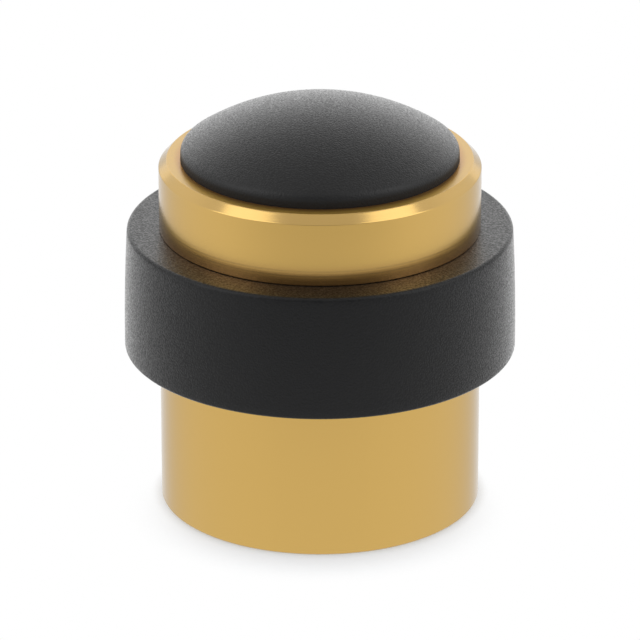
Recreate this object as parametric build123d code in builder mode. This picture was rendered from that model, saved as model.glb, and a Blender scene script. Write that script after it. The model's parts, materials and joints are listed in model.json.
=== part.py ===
"""Floor door stop: a turned post, a rubber buffer ring in its groove and a domed rubber cap.

The origin is on the floor, on the post's axis, with +Z up. All sizes are in millimetres.
"""

import os
from math import isclose, sqrt

from build123d import *

# Post: a turned bar with a groove for the buffer ring.
post_diameter = 33.0
post_height = 37.0
top_chamfer = 0.85
base_edge_break = 0.2
base_relief_diameter = 26.0
base_relief_depth = 0.6

# Buffer ring: a moulded ring whose outer wall is drafted from its base to its top edge.
buffer_seat_height = 16.6
buffer_height = 13.0
buffer_base_diameter = 40.3
buffer_top_diameter = 39.65
buffer_edge_break = 0.3
groove_depth = 1.5
groove_lip_break = 0.1

# Fixing hole: a countersunk wood screw goes down through the post into the floor.
screw_hole_diameter = 5.5
screw_head_diameter = 10.4
screw_head_angle = 90.0
screw_seat_height = 12.0
driver_bore_diameter = 12.0

# Cap: a spherical dome on a flange, held by a ribbed stem in the driver bore.
cap_diameter = 28.5
cap_rim_height = 1.2
cap_rim_radius = 1.1
dome_rise = 4.6
cap_seat_depth = 2.0
cap_seat_clearance = 0.05
cap_foot_break = 0.3
stem_length = 9.0
stem_clearance = 0.5
stem_core_diameter = 5.0
stem_core_depth = 8.0
rib_count = 3
rib_height = 1.4
rib_pitch = 2.6

# Places that follow from the sizes above.
post_radius = post_diameter / 2
groove_radius = post_radius - groove_depth
buffer_top_height = buffer_seat_height + buffer_height
cap_radius = cap_diameter / 2
cap_seat_height = post_height - cap_seat_depth
cap_rim_top = post_height + cap_rim_height
overall_height = cap_rim_top + dome_rise
dome_radius = (cap_radius**2 + dome_rise**2) / (2 * dome_rise)
dome_centre_height = overall_height - dome_radius
driver_bore_radius = driver_bore_diameter / 2
stem_radius = driver_bore_radius - stem_clearance
stem_end = cap_seat_height - stem_length

# The rim's round touches the cap's side and its dome, which places the round's two ends.
round_centre_radius = cap_radius - cap_rim_radius
round_to_dome = dome_radius - cap_rim_radius
round_centre_rise = sqrt(round_to_dome**2 - round_centre_radius**2)
round_foot_height = dome_centre_height + round_centre_rise
dome_foot_radius = dome_radius * round_centre_radius / round_to_dome
dome_foot_height = dome_centre_height + dome_radius * round_centre_rise / round_to_dome


def outer_rims(part):
    """The circular edges of the post's full diameter, from the floor up."""
    circles = part.edges().filter_by(GeomType.CIRCLE)
    return circles.filter_by(lambda edge: isclose(edge.radius, post_radius)).sort_by(Axis.Z)


# Post
with BuildPart() as post:
    with BuildSketch():
        Circle(post_radius)
    extrude(amount=post_height)

    # Groove that the buffer ring is stretched into, with its lips broken.
    with BuildSketch(Plane.XY.offset(buffer_seat_height)):
        Circle(post_radius)
        Circle(groove_radius, mode=Mode.SUBTRACT)
    extrude(amount=buffer_height, mode=Mode.SUBTRACT)
    chamfer(outer_rims(post)[-1], length=top_chamfer)
    chamfer(outer_rims(post)[1:3], length=groove_lip_break)
    chamfer(outer_rims(post)[0], length=base_edge_break)

    # Cap seat, driver bore and countersunk screw hole, from the top down.
    with Locations((0, 0, post_height)):
        Hole(cap_radius + cap_seat_clearance, depth=cap_seat_depth)
    with Locations((0, 0, cap_seat_height)):
        Hole(driver_bore_radius, depth=cap_seat_height - screw_seat_height)
    with Locations((0, 0, screw_seat_height)):
        CounterSinkHole(
            screw_hole_diameter / 2,
            screw_head_diameter / 2,
            depth=screw_seat_height,
            counter_sink_angle=screw_head_angle,
        )

    # The underside is relieved, so that the post stands on its rim.
    with BuildSketch():
        Circle(base_relief_diameter / 2)
    extrude(amount=base_relief_depth, mode=Mode.SUBTRACT)
post.part.label = "post"

# Buffer ring
with BuildPart() as buffer_ring:
    with BuildSketch(Plane.XZ) as buffer_section:
        with BuildLine():
            Polyline(
                (groove_radius, buffer_seat_height),
                (buffer_base_diameter / 2, buffer_seat_height),
                (buffer_top_diameter / 2, buffer_top_height),
                (groove_radius, buffer_top_height),
                close=True,
            )
        make_face()
        chamfer(buffer_section.vertices().sort_by(Axis.X)[-2:], length=buffer_edge_break)
    revolve(axis=Axis.Z)
buffer_ring.part.label = "buffer_ring"

# Cap
with BuildPart() as cap:
    with BuildSketch(Plane.XZ):
        with BuildLine():
            round_foot = (cap_radius, round_foot_height)
            dome_foot = (dome_foot_radius, dome_foot_height)
            TangentArc(round_foot, dome_foot, tangent=(0, 1))
            Polyline(
                dome_foot,
                (dome_foot_radius, overall_height),
                (0, overall_height),
                (0, cap_seat_height),
                (cap_radius - cap_foot_break, cap_seat_height),
                (cap_radius, cap_seat_height + cap_foot_break),
                round_foot,
            )
        make_face()
    revolve(axis=Axis.Z)

    # The dome is trimmed by a sphere that lies on its side, so that its poles are off the dome.
    with Locations(Plane.XZ.shift_origin((0, 0, dome_centre_height))):
        Sphere(dome_radius, mode=Mode.INTERSECT)

    # Stem with ribs that grip the driver bore, cored out so that they give.
    with BuildSketch(Plane.XY.offset(cap_seat_height)):
        Circle(stem_radius)
    extrude(amount=-stem_length)
    with Locations([(0, 0, stem_end + step * rib_pitch) for step in range(rib_count)]):
        Cone(
            stem_radius,
            driver_bore_radius,
            rib_height,
            align=(Align.CENTER, Align.CENTER, Align.MIN),
        )
    with Locations(cap.faces().sort_by(Axis.Z)[0]):
        Hole(stem_core_diameter / 2, depth=stem_core_depth)
cap.part.label = "cap"

os.makedirs("parts", exist_ok=True)
for piece in (post, buffer_ring, cap):
    export_step(piece.part, f"parts/{piece.part.label}.step")
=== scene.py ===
import json
import math

import bmesh
import bpy
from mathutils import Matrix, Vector


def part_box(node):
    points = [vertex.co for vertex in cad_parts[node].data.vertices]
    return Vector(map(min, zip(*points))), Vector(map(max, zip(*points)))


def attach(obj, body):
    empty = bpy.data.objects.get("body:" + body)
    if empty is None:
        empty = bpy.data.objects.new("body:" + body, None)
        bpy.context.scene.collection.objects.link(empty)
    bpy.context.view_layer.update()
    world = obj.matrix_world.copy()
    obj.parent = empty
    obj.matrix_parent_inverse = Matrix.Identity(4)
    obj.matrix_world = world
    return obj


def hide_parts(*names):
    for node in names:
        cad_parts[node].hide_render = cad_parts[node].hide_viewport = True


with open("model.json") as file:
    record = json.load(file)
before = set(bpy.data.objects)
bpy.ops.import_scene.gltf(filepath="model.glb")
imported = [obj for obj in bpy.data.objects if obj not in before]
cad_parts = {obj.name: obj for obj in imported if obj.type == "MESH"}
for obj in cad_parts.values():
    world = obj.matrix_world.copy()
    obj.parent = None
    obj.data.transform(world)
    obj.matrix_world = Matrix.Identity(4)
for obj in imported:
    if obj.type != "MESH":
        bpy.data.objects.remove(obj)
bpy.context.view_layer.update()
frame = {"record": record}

# Post
# A brass bar turned to one diameter, with a groove for the ring, a chamfered top and a seat for the
# cap. The screw goes down through its middle. The outside is fine turned and finished in satin gold.
MM = 0.001
TURN_STEPS = 256
MERGED_WITHIN = 1e-8
FOUND_WITHIN = 1e-6

post_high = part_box("post")[1]
ring_low, ring_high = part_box("buffer_ring")
cap_low, cap_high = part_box("cap")
mounts = {mount["name"]: mount for mount in frame["record"]["mounts"]}

post_radius = post_high.x
groove_depth = 1.5 * MM
groove_radius = post_radius - groove_depth
lip_break = 0.1 * MM
base_break = 0.2 * MM
top_chamfer = 0.85 * MM
chamfer_break = 0.03 * MM
relief_radius = 13.0 * MM
relief_depth = 0.6 * MM
seat_gap = 0.01 * MM
seat_radius = cap_high.x + seat_gap
seat_depth = 2.0 * MM
seat_height = post_high.z - seat_depth
driver_radius = 6.0 * MM
screw_seat_height = 12.0 * MM
screw_head_radius = 5.2 * MM
screw_hole_radius = mounts["fixing_screw_hole"]["dims"]["r_mm"] * MM
countersink_end = screw_seat_height - (screw_head_radius - screw_hole_radius)

foot_edge = (post_radius, 0)
lower_lip = (post_radius, ring_low.z)
upper_lip = (post_radius, ring_high.z)
chamfer_foot = (post_radius, post_high.z - top_chamfer)
chamfer_top = (post_radius - top_chamfer, post_high.z)


def between(first, second, share):
    """The point at a share of the way from one corner of an outline to the next."""
    return tuple(start + (end - start) * share for start, end in zip(first, second))


def draw(mesh, start, corners):
    """Lays edges in the XZ plane from a vertex through corners given as radius and height."""
    last = start
    for radius, height in corners:
        vertex = mesh.verts.new((radius, 0, height))
        mesh.edges.new((last, vertex))
        last = vertex
    return last


def turn(mesh):
    """Spins the drawn outline a full turn about the post's axis."""
    outline = mesh.verts[:] + mesh.edges[:]
    bmesh.ops.spin(
        mesh, geom=outline, cent=(0, 0, 0), axis=(0, 0, 1), angle=math.tau,
        steps=TURN_STEPS, use_merge=True,
    )
    bmesh.ops.remove_doubles(mesh, verts=mesh.verts, dist=MERGED_WITHIN)
    bmesh.ops.recalc_face_normals(mesh, faces=mesh.faces)


def soften(mesh, corner, width, segments):
    """Rounds the circular edge that one corner of the outline became."""
    radius, height = corner

    def on_circle(vertex):
        off = abs(math.hypot(vertex.co.x, vertex.co.y) - radius) + abs(vertex.co.z - height)
        return off < FOUND_WITHIN

    edges = [edge for edge in mesh.edges if all(on_circle(vertex) for vertex in edge.verts)]
    bmesh.ops.bevel(
        mesh, geom=edges, offset=width, offset_type="OFFSET", segments=segments, profile=0.5,
        affect="EDGES", clamp_overlap=True, material=-1,
    )


# Two points close to the chamfer's edges keep it flat when it is shaded smooth.
chamfer_margin = 0.1
post_mesh = bmesh.new()
relief_edge = post_mesh.verts.new((relief_radius, 0, 0))
outline_end = draw(
    post_mesh,
    relief_edge,
    [
        foot_edge,
        lower_lip,
        (groove_radius, ring_low.z),
        (groove_radius, ring_high.z),
        upper_lip,
        chamfer_foot,
        between(chamfer_foot, chamfer_top, chamfer_margin),
        between(chamfer_top, chamfer_foot, chamfer_margin),
        chamfer_top,
        (seat_radius, post_high.z),
        (seat_radius, seat_height),
        (driver_radius, seat_height),
        (driver_radius, screw_seat_height),
        (screw_head_radius, screw_seat_height),
        (screw_hole_radius, countersink_end),
        (screw_hole_radius, relief_depth),
        (relief_radius, relief_depth),
    ],
)
post_mesh.edges.new((outline_end, relief_edge))
turn(post_mesh)
soften(post_mesh, foot_edge, base_break, segments=3)
for groove_lip in (lower_lip, upper_lip):
    soften(post_mesh, groove_lip, lip_break, segments=3)
for chamfer_edge in (chamfer_foot, chamfer_top):
    soften(post_mesh, chamfer_edge, chamfer_break, segments=2)


class Socket:
    """The output of a shader node. Arithmetic on it adds Math nodes to the same finish."""

    def __init__(self, finish, output):
        self.finish = finish
        self.output = output

    def also(self, name):
        """Another output of the same node."""
        return Socket(self.finish, self.output.node.outputs[name])

    def math(self, operation, first, second):
        return self.finish.node("ShaderNodeMath", {"operation": operation}, {0: first, 1: second})

    def __add__(self, other):
        return self.math("ADD", self, other)

    def __sub__(self, other):
        return self.math("SUBTRACT", self, other)

    def __rsub__(self, other):
        return self.math("SUBTRACT", other, self)

    def __mul__(self, other):
        return self.math("MULTIPLY", self, other)

    def __gt__(self, other):
        return self.math("GREATER_THAN", self, other)

    __radd__ = __add__
    __rmul__ = __mul__


class Finish:
    """The node tree of a material or of the room, built one node at a time."""

    def __init__(self, owner):
        owner.use_nodes = True
        self.owner = owner
        self.tree = owner.node_tree
        self.tree.nodes.clear()

    def node(self, kind, settings, sockets, output=0):
        """Adds a node with its settings, then the values or links of its sockets."""
        made = self.tree.nodes.new(kind)
        for name, value in settings.items():
            setattr(made, name, value)
        for name, value in sockets.items():
            if isinstance(value, Socket):
                self.tree.links.new(value.output, made.inputs[name])
            else:
                made.inputs[name].default_value = value
        return Socket(self, made.outputs[output]) if made.outputs else None

    def place(self):
        return self.node("ShaderNodeTexCoord", {}, {}, "Object")

    def along(self, axis, place):
        return self.node("ShaderNodeSeparateXYZ", {}, {"Vector": place}, axis)

    def noise(self, place, scale, dimensions):
        """Soft noise with no finer noise in it."""
        return self.node(
            "ShaderNodeTexNoise",
            {"noise_dimensions": dimensions},
            {"Vector": place, "Scale": scale, "Detail": 0.0},
            "Fac",
        )

    def ramp(self, value, start, end):
        """Goes smoothly from 0, where the value is at the start, to 1, where it is at the end."""
        return self.node(
            "ShaderNodeMapRange",
            {"interpolation_type": "SMOOTHSTEP"},
            {"Value": value, "From Min": start, "From Max": end},
        )

    def bump(self, height, depth):
        return self.node("ShaderNodeBump", {}, {"Height": height, "Distance": depth})

    def mix(self, factor, first, second):
        """Mixes two colours. A Mix node's sockets share their names, so they go by number."""
        return self.node(
            "ShaderNodeMix", {"data_type": "RGBA"}, {0: factor, 6: first, 7: second}, 2
        )

    def mix_shaders(self, factor, first, second):
        return self.node("ShaderNodeMixShader", {}, {0: factor, 1: first, 2: second})


line_gold = (0.598, 0.372, 0.080, 1)
ridge_gold = (0.604, 0.376, 0.082, 1)
# A paler gold on the chamfer, a painted highlight that whitens the soft boxes' gleam on it.
chamfer_painted_highlight_gold = (0.595, 0.376, 0.1, 1)
# A darker, more orange gold for the painted shade beside the rubber.
painted_shade_gold = (0.50, 0.25, 0.06, 1)
glancing_gold = (0.6, 0.55, 0.45, 1)
line_scale = 4500
line_depth = 0.001 * MM
line_deepening = 20
line_roughness = 0.02
land_roughness = 0.40
outside_polish = 0.15
chamfer_polish = 0.1
cap_shade = 0.9 * MM
ring_shade = 2.4 * MM

# The tool's fine lines run round the bar. The wall is smoother than the land, and the chamfer than
# the wall.
gold = Finish(bpy.data.materials.new("satin_gold"))
gold_place = gold.place()
gold_height = gold.along("Z", gold_place)
gold_across = gold.node(
    "ShaderNodeVectorMath", {"operation": "MULTIPLY"}, {0: gold_place, 1: (1, 1, 0)}
)
from_axis = gold.node("ShaderNodeVectorMath", {"operation": "LENGTH"}, {0: gold_across}, "Value")
lathe_place = gold.node("ShaderNodeCombineXYZ", {}, {"X": from_axis, "Y": gold_height})
turned_lines = gold.noise(lathe_place, line_scale, "2D")
off_land = from_axis > chamfer_top[0]
on_chamfer = (gold_height > chamfer_foot[1]) * off_land
turned_color = gold.mix(turned_lines, line_gold, ridge_gold)
# The chamfer is painted paler, as a painted highlight that whitens the gleam on it.
gold_with_painted_highlight = gold.mix(on_chamfer, turned_color, chamfer_painted_highlight_gold)

# The gold is painted darker and more orange beside the cap and above the ring, as painted shade from
# the rubber, and its lines are deepest halfway into the ring's shade.
beside_cap = gold.ramp(from_axis, seat_radius + cap_shade, seat_radius)
beside_ring = gold.ramp(gold_height, ring_high.z + ring_shade, ring_high.z)
painted_shade_by_rubber = (beside_cap + beside_ring) * (gold_height > ring_low.z)
shade_edge = beside_ring * (1 - beside_ring)
gold_shader = gold.node(
    "ShaderNodeBsdfPrincipled",
    {},
    {
        "Base Color": gold.mix(painted_shade_by_rubber, gold_with_painted_highlight, painted_shade_gold),
        "Metallic": 1.0,
        "Specular Tint": glancing_gold,
        "Roughness": turned_lines * line_roughness + land_roughness
        - off_land * outside_polish - on_chamfer * chamfer_polish,
        "Anisotropic": 0.4,
        "Anisotropic Rotation": 0.25,
        "Coat Weight": 1.0,
        "Coat Roughness": 0.22,
        "Normal": gold.bump(turned_lines * (shade_edge * line_deepening + 1), line_depth),
    },
)
gold.node("ShaderNodeOutputMaterial", {}, {"Surface": gold_shader})

# An edge that turns by more than this is left sharp.
CREASE_ANGLE = math.radians(35)


def finished(name, mesh, finish, node):
    """Makes the turned mesh a smooth piece that stands for a node of the frame."""
    data = bpy.data.meshes.new(name)
    mesh.to_mesh(data)
    mesh.free()
    data.shade_smooth()
    data.set_sharp_from_angle(angle=CREASE_ANGLE)
    data.materials.append(finish.owner)
    piece = bpy.data.objects.new(name, data)
    bpy.context.scene.collection.objects.link(piece)
    weighted = piece.modifiers.new("even_shading", "WEIGHTED_NORMAL")
    weighted.keep_sharp = True
    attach(piece, "root")
    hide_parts(node)


finished("turned_post", post_mesh, gold, "post")

# Buffer ring
# The black rubber ring that the door meets. It is moulded with a flat top and a drafted wall that swells
# a little, has the fine grain of its mould, and is stretched over the post into the groove.
ring_height = ring_high.z - ring_low.z
ring_draft = 0.34 * MM
ring_swell = 0.10 * MM
ring_foot_round = 0.3 * MM
ring_top_round = 0.4 * MM
WALL_STEPS = 12
ring_foot_corner = (ring_high.x, ring_low.z)
ring_top_corner = (ring_high.x - ring_draft, ring_high.z)

ring_mesh = bmesh.new()
ring_start = ring_mesh.verts.new((groove_radius, 0, ring_low.z))
ring_outline = [ring_foot_corner]
for step in range(1, WALL_STEPS):
    rise = step / WALL_STEPS
    # The swell is a parabola, and 4 makes it full halfway up.
    wall_radius = ring_high.x - ring_draft * rise + 4 * ring_swell * rise * (1 - rise)
    ring_outline.append((wall_radius, ring_low.z + ring_height * rise))
ring_outline += [ring_top_corner, (groove_radius, ring_high.z)]
ring_end = draw(ring_mesh, ring_start, ring_outline)
ring_mesh.edges.new((ring_end, ring_start))
turn(ring_mesh)
soften(ring_mesh, ring_foot_corner, ring_foot_round, segments=5)
soften(ring_mesh, ring_top_corner, ring_top_round, segments=5)

pit_black = (0.003, 0.003, 0.0032, 1)
peak_black = (0.007, 0.007, 0.0074, 1)
grain_scale = 6000
grain_depth = 0.04 * MM
dull_roughness = 0.58
grain_roughness = 0.16
rubber_polish = 0.3
polish_blend = 1.0 * MM
sheen_contrast = 5
sheen_start = 1.6


def moulded_rubber(name, gloss, dull_height):
    """Black rubber with the fine grain of a spark-eroded mould. It is dull up to a height."""
    rubber = Finish(bpy.data.materials.new(name))
    place = rubber.place()
    grain = rubber.noise(place, grain_scale, "3D")
    polish = rubber.ramp(rubber.along("Z", place), dull_height, dull_height + polish_blend)
    grazing = rubber.node("ShaderNodeLayerWeight", {}, {"Blend": 0.5}, "Facing")
    shader = rubber.node(
        "ShaderNodeBsdfPrincipled",
        {},
        {
            "Base Color": rubber.mix(grain, pit_black, peak_black),
            "Roughness": grain * grain_roughness + dull_roughness - polish * rubber_polish,
            "Specular IOR Level": gloss,
            "Coat Weight": polish * grazing * grazing * (grain * sheen_contrast - sheen_start),
            "Coat Roughness": 0.3,
            "Normal": rubber.bump(grain, grain_depth),
        },
    )
    rubber.node("ShaderNodeOutputMaterial", {}, {"Surface": shader})
    return rubber


ring_rubber = moulded_rubber("ring_rubber", gloss=0.25, dull_height=0.0)
finished("rubber_buffer_ring", ring_mesh, ring_rubber, "buffer_ring")

# Cap
# A black rubber plug with a low dome that hides the screw, duller at the side of its rim. It is moulded
# in one with a hollow stem, whose ribs hold it in the post's bore.
cap_radius = cap_high.x
rim_height = 1.2 * MM
rim_round = 1.1 * MM
dull_rim = 0.5 * MM
foot_break = 0.3 * MM
stem_radius = 5.5 * MM
stem_core_radius = 2.5 * MM
stem_core_depth = 8.0 * MM
stem_core_top = cap_low.z + stem_core_depth
rib_pitch = 2.6 * MM
rib_height = 1.4 * MM
RIBS = 3
DOME_STEPS = 36
ROUND_STEPS = 8

# The rim's round touches the dome and the cap's side.
dome_rise = cap_high.z - post_high.z - rim_height
dome_radius = (cap_radius**2 + dome_rise**2) / (2 * dome_rise)
dome_centre = Vector((0, 0, cap_high.z - dome_radius))
round_reach = dome_radius - rim_round
dome_angle = math.asin((cap_radius - rim_round) / round_reach)
round_centre = dome_centre + round_reach * Vector((math.sin(dome_angle), 0, math.cos(dome_angle)))

cap_mesh = bmesh.new()
apex = cap_mesh.verts.new((0, 0, cap_high.z))
dome = bmesh.ops.spin(
    cap_mesh, geom=[apex], cent=dome_centre, axis=(0, 1, 0), angle=dome_angle, steps=DOME_STEPS
)
rim = bmesh.ops.spin(
    cap_mesh, geom=dome["geom_last"], cent=round_centre, axis=(0, 1, 0),
    angle=math.pi / 2 - dome_angle, steps=ROUND_STEPS,
)
cap_foot = (cap_radius, seat_height)
under_dome = [cap_foot, (stem_radius, seat_height)]
for rib in reversed(range(RIBS)):
    rib_foot = cap_low.z + rib * rib_pitch
    under_dome += [
        (stem_radius, rib_foot + rib_height),
        (driver_radius, rib_foot + rib_height),
        (stem_radius, rib_foot),
    ]
under_dome += [
    (stem_core_radius, cap_low.z),
    (stem_core_radius, stem_core_top),
    (0, stem_core_top),
]
draw(cap_mesh, rim["geom_last"][0], under_dome)
turn(cap_mesh)
soften(cap_mesh, cap_foot, foot_break, segments=2)

cap_rubber = moulded_rubber("cap_rubber", gloss=0.34, dull_height=post_high.z + dull_rim)
finished("rubber_cap", cap_mesh, cap_rubber, "cap")

# Studio
# A white paper floor in a pale room that has a dim ceiling and a dark side in front. A soft box stands at
# each side and one behind. The paper shows plain white, with a soft shadow in front of the stop.
floor_reach = 3.0
floor_mesh = bmesh.new()
bmesh.ops.create_grid(floor_mesh, x_segments=1, y_segments=1, size=floor_reach)
floor_data = bpy.data.meshes.new("studio_floor")
floor_mesh.to_mesh(floor_data)
floor_mesh.free()
floor = bpy.data.objects.new("studio_floor", floor_data)
bpy.context.scene.collection.objects.link(floor)

white = (1, 1, 1, 1)
shadow_white = (0.86, 0.91, 0.98, 1)
# Grey for the painted shade on the paper far in front, seen only in reflections.
mirrored_painted_shade = (0.75, 0.75, 0.75, 1)
shadow_reach = 9.0 * MM
contact_reach = 1.2 * MM
shadow_samples = 12
shadow_contrast = 2
shadow_depth = 0.4
grey_start = -0.04
grey_end = -0.13

# The shadow lies where the stop hides the floor from light above and behind it. A thin line of shadow
# follows the foot.
paper = Finish(bpy.data.materials.new("white_paper"))
seen = paper.node("ShaderNodeLightPath", {}, {}, "Is Camera Ray")
mirrored = seen.also("Is Glossy Ray")
through = seen.also("Is Transmission Ray")
from_behind = paper.node("ShaderNodeCombineXYZ", {}, {"X": 0.0, "Y": 0.8, "Z": 0.6})
open_floor = paper.node(
    "ShaderNodeAmbientOcclusion",
    {"samples": shadow_samples},
    {"Distance": shadow_reach, "Normal": from_behind},
    "AO",
)
clear_of_foot = paper.node(
    "ShaderNodeAmbientOcclusion",
    {"samples": shadow_samples},
    {"Distance": contact_reach},
    "AO",
)
in_the_open = (open_floor * shadow_contrast - shadow_depth) * clear_of_foot
paper_matte = paper.node("ShaderNodeBsdfDiffuse", {}, {"Color": shadow_white})

# The gold mirrors paper painted grey towards the front, as painted shade where the light falls off.
painted_shade_toward_front = paper.ramp(paper.along("Y", paper.place()), grey_start, grey_end)
paper_color = paper.mix(painted_shade_toward_front * mirrored, white, mirrored_painted_shade)
paper_white = paper.node("ShaderNodeEmission", {}, {"Color": paper_color})
shown_white = seen * in_the_open + mirrored + through
paper_shader = paper.mix_shaders(shown_white, paper_matte, paper_white)
paper.node("ShaderNodeOutputMaterial", {}, {"Surface": paper_shader})
floor_data.materials.append(paper.owner)

room = Finish(bpy.data.worlds.new("studio_room"))
outward = room.node("ShaderNodeTexCoord", {}, {}, "Generated")
unseen = 1 - room.node("ShaderNodeLightPath", {}, {}, "Is Camera Ray")


def part_of_room(middle, edge_cosine, full_cosine):
    """A soft patch of the room round the direction of its middle. The camera doesn't see it."""
    nearness = room.node(
        "ShaderNodeVectorMath", {"operation": "DOT_PRODUCT"}, {0: outward, 1: middle}, "Value"
    )
    return room.ramp(nearness, edge_cosine, full_cosine) * unseen


def room_light(strength):
    return room.node("ShaderNodeBackground", {}, {"Color": white, "Strength": strength})


ceiling = part_of_room(middle=(0, -0.45, 0.89), edge_cosine=0.2, full_cosine=0.9)
front = part_of_room(middle=(0, -0.995, 0.1), edge_cosine=0.6, full_cosine=0.95)
pale_room = room.mix_shaders(ceiling, room_light(strength=1.0), room_light(strength=0.74))
room_shader = room.mix_shaders(front, pale_room, room_light(strength=0.35))
room.node("ShaderNodeOutputWorld", {}, {"Surface": room_shader})
bpy.context.scene.world = room.owner

# A lamp of this many watts to the square metre is as bright as the white of the room.
watts_for_white = 4


def soft_box(name, place, width, height, brightness):
    """A flat lamp that faces the stop. Its brightness is in parts of the white of the room."""
    lamp = bpy.data.lights.new(name, "AREA")
    lamp.shape = "RECTANGLE"
    lamp.size = width
    lamp.size_y = height
    lamp.energy = brightness * watts_for_white * width * height
    lamp_object = bpy.data.objects.new(name, lamp)
    lamp_object.location = place
    lamp_object.rotation_euler = (-Vector(place)).to_track_quat("-Z", "Y").to_euler()
    lamp_object.visible_camera = False
    bpy.context.scene.collection.objects.link(lamp_object)


for name, across in (("left_soft_box", -0.433), ("right_soft_box", 0.433)):
    soft_box(name, place=(across, -0.183, 0.37), width=0.34, height=0.56, brightness=0.9)
soft_box("back_soft_box", place=(0, 0.60, 0.26), width=1.0, height=0.42, brightness=0.3)

camera_distance = 0.600
camera_elevation = math.radians(22.87)
camera_aim = Vector((0, 0, 19.01 * MM))
camera_data = bpy.data.cameras.new("camera")
camera_data.sensor_width = 36
camera_data.lens = 327.0
camera = bpy.data.objects.new("camera", camera_data)
camera_back = Vector((0, -math.cos(camera_elevation), math.sin(camera_elevation)))
camera.location = camera_aim + camera_back * camera_distance
camera.rotation_euler = (-camera_back).to_track_quat("-Z", "Y").to_euler()
bpy.context.scene.collection.objects.link(camera)
bpy.context.scene.camera = camera
bpy.context.scene.view_settings.view_transform = "Standard"
